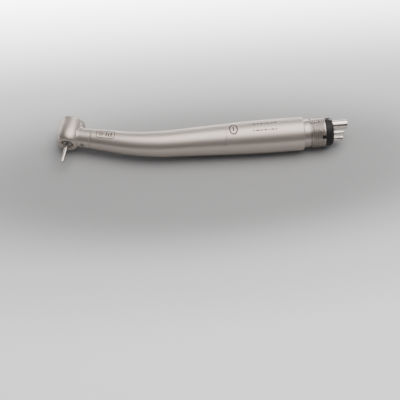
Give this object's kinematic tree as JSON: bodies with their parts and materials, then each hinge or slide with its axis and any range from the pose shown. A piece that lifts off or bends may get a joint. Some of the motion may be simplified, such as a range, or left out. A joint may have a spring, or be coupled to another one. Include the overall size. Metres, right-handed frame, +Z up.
{
  "type": "dental high speed handpiece",
  "caption": "Bent steel air-turbine handpiece with push-button chuck, test blank, neck lamp with its own generator, and threaded hose connector with air and water tubes.",
  "frame": {"origin": "on the grip axis at the start of the hose thread, where the hose nut comes to rest", "axes": "+X along the grip axis out of the hose end; the handpiece lies on its side, its bend in the XY plane, with the bur pointing towards -Y and +Z up"},
  "size_m": [0.1355, 0.0256, 0.0158],
  "materials": {
    "body_steel": "satin",
    "collar_steel": "satin",
    "button_steel": "satin",
    "polished_steel": "polished",
    "bearing_steel": "polished",
    "rotor_steel": "satin",
    "wheel_alloy": "satin",
    "ball_ceramic": "polished",
    "cage_resin": "matte",
    "ring_rubber": "matte",
    "insert_rubber": "matte",
    "lens_glass": "polished",
    "lamp_package": "gloss",
    "inner_brass": "satin",
    "manifold_alloy": "satin",
    "line_steel": "satin",
    "wire_red": "satin",
    "wire_black": "satin",
    "generator_alloy": "satin",
    "coil_copper": "satin",
    "magnet_plate": "satin"
  },
  "bodies": {
    "housing": {"head_housing": "body_steel", "head_cap": "body_steel", "front_body": "body_steel", "rear_sleeve": "body_steel", "joint_ring": "collar_steel", "thread_collar": "collar_steel", "exhaust_tube": "polished_steel", "drive_air_tube": "polished_steel", "water_tube": "polished_steel", "chip_air_tube": "polished_steel", "lower_outer_race": "bearing_steel", "upper_outer_race": "bearing_steel", "wave_washer": "bearing_steel", "generator_front_bearing": "bearing_steel", "generator_rear_bearing": "bearing_steel", "button_spring": "bearing_steel", "lower_o_ring": "ring_rubber", "upper_o_ring": "ring_rubber", "coupler_o_ring": "ring_rubber", "manifold_o_ring": "ring_rubber", "hose_insert": "insert_rubber", "light_window": "lens_glass", "lamp_module": "lamp_package", "neck_block": "inner_brass", "line_plate": "inner_brass", "coupler_ring": "inner_brass", "manifold_block": "manifold_alloy", "drive_air_line": "line_steel", "water_line": "line_steel", "chip_air_line": "line_steel", "rear_water_line": "line_steel", "rear_chip_line": "line_steel", "lamp_wire_pos": "wire_red", "lamp_wire_neg": "wire_black", "generator_case": "generator_alloy", "generator_cap": "generator_alloy", "stator_coil": "coil_copper"},
    "rotor": {"spindle": "rotor_steel", "chuck_collet": "rotor_steel", "impeller": "wheel_alloy", "lower_inner_race": "bearing_steel", "upper_inner_race": "bearing_steel"},
    "lower_ball_cage": {"lower_balls": "ball_ceramic", "lower_cage": "cage_resin"},
    "upper_ball_cage": {"upper_balls": "ball_ceramic", "upper_cage": "cage_resin"},
    "button": {"push_button": "button_steel"},
    "pusher": {"chuck_pusher": "rotor_steel"},
    "bur": {"test_bur": "polished_steel"},
    "generator_rotor": {"generator_shaft": "rotor_steel", "generator_magnet": "magnet_plate", "generator_wheel": "wheel_alloy"}
  },
  "joints": [
    {"name": "rotor_spin", "type": "hinge", "parent": "housing", "child": "rotor", "pos_m": [-0.11185, 0.00884, 0], "axis": [0.2487, 0.9686, 0], "continuous": true},
    {"name": "lower_cage_spin", "type": "hinge", "parent": "housing", "child": "lower_ball_cage", "pos_m": [-0.11185, 0.00884, 0], "axis": [0.2487, 0.9686, 0], "continuous": true},
    {"name": "upper_cage_spin", "type": "hinge", "parent": "housing", "child": "upper_ball_cage", "pos_m": [-0.11185, 0.00884, 0], "axis": [0.2487, 0.9686, 0], "continuous": true},
    {"name": "button_press", "type": "slide", "parent": "housing", "child": "button", "axis": [-0.2487, -0.9686, 0], "range_m": [0, 0.0007], "stiffness_N_per_m": 2000, "springref_m": -0.001, "deforming": ["button_spring"]},
    {"name": "pusher_slide", "type": "slide", "parent": "rotor", "child": "pusher", "axis": [-0.2487, -0.9686, 0], "range_m": [0, 0.00035]},
    {"name": "bur_slide", "type": "slide", "parent": "rotor", "child": "bur", "axis": [-0.2487, -0.9686, 0], "range_m": [0, 0.009]},
    {"name": "generator_spin", "type": "hinge", "parent": "housing", "child": "generator_rotor", "pos_m": [-0.02, 0, 0], "axis": [1, 0, 0], "continuous": true}
  ],
  "couplings": [
    {"joint": "lower_cage_spin", "follows": "rotor_spin", "ratio": 0.3971},
    {"joint": "upper_cage_spin", "follows": "rotor_spin", "ratio": 0.3971},
    {"joint": "pusher_slide", "follows": "button_press", "ratio": 0.5}
  ]
}
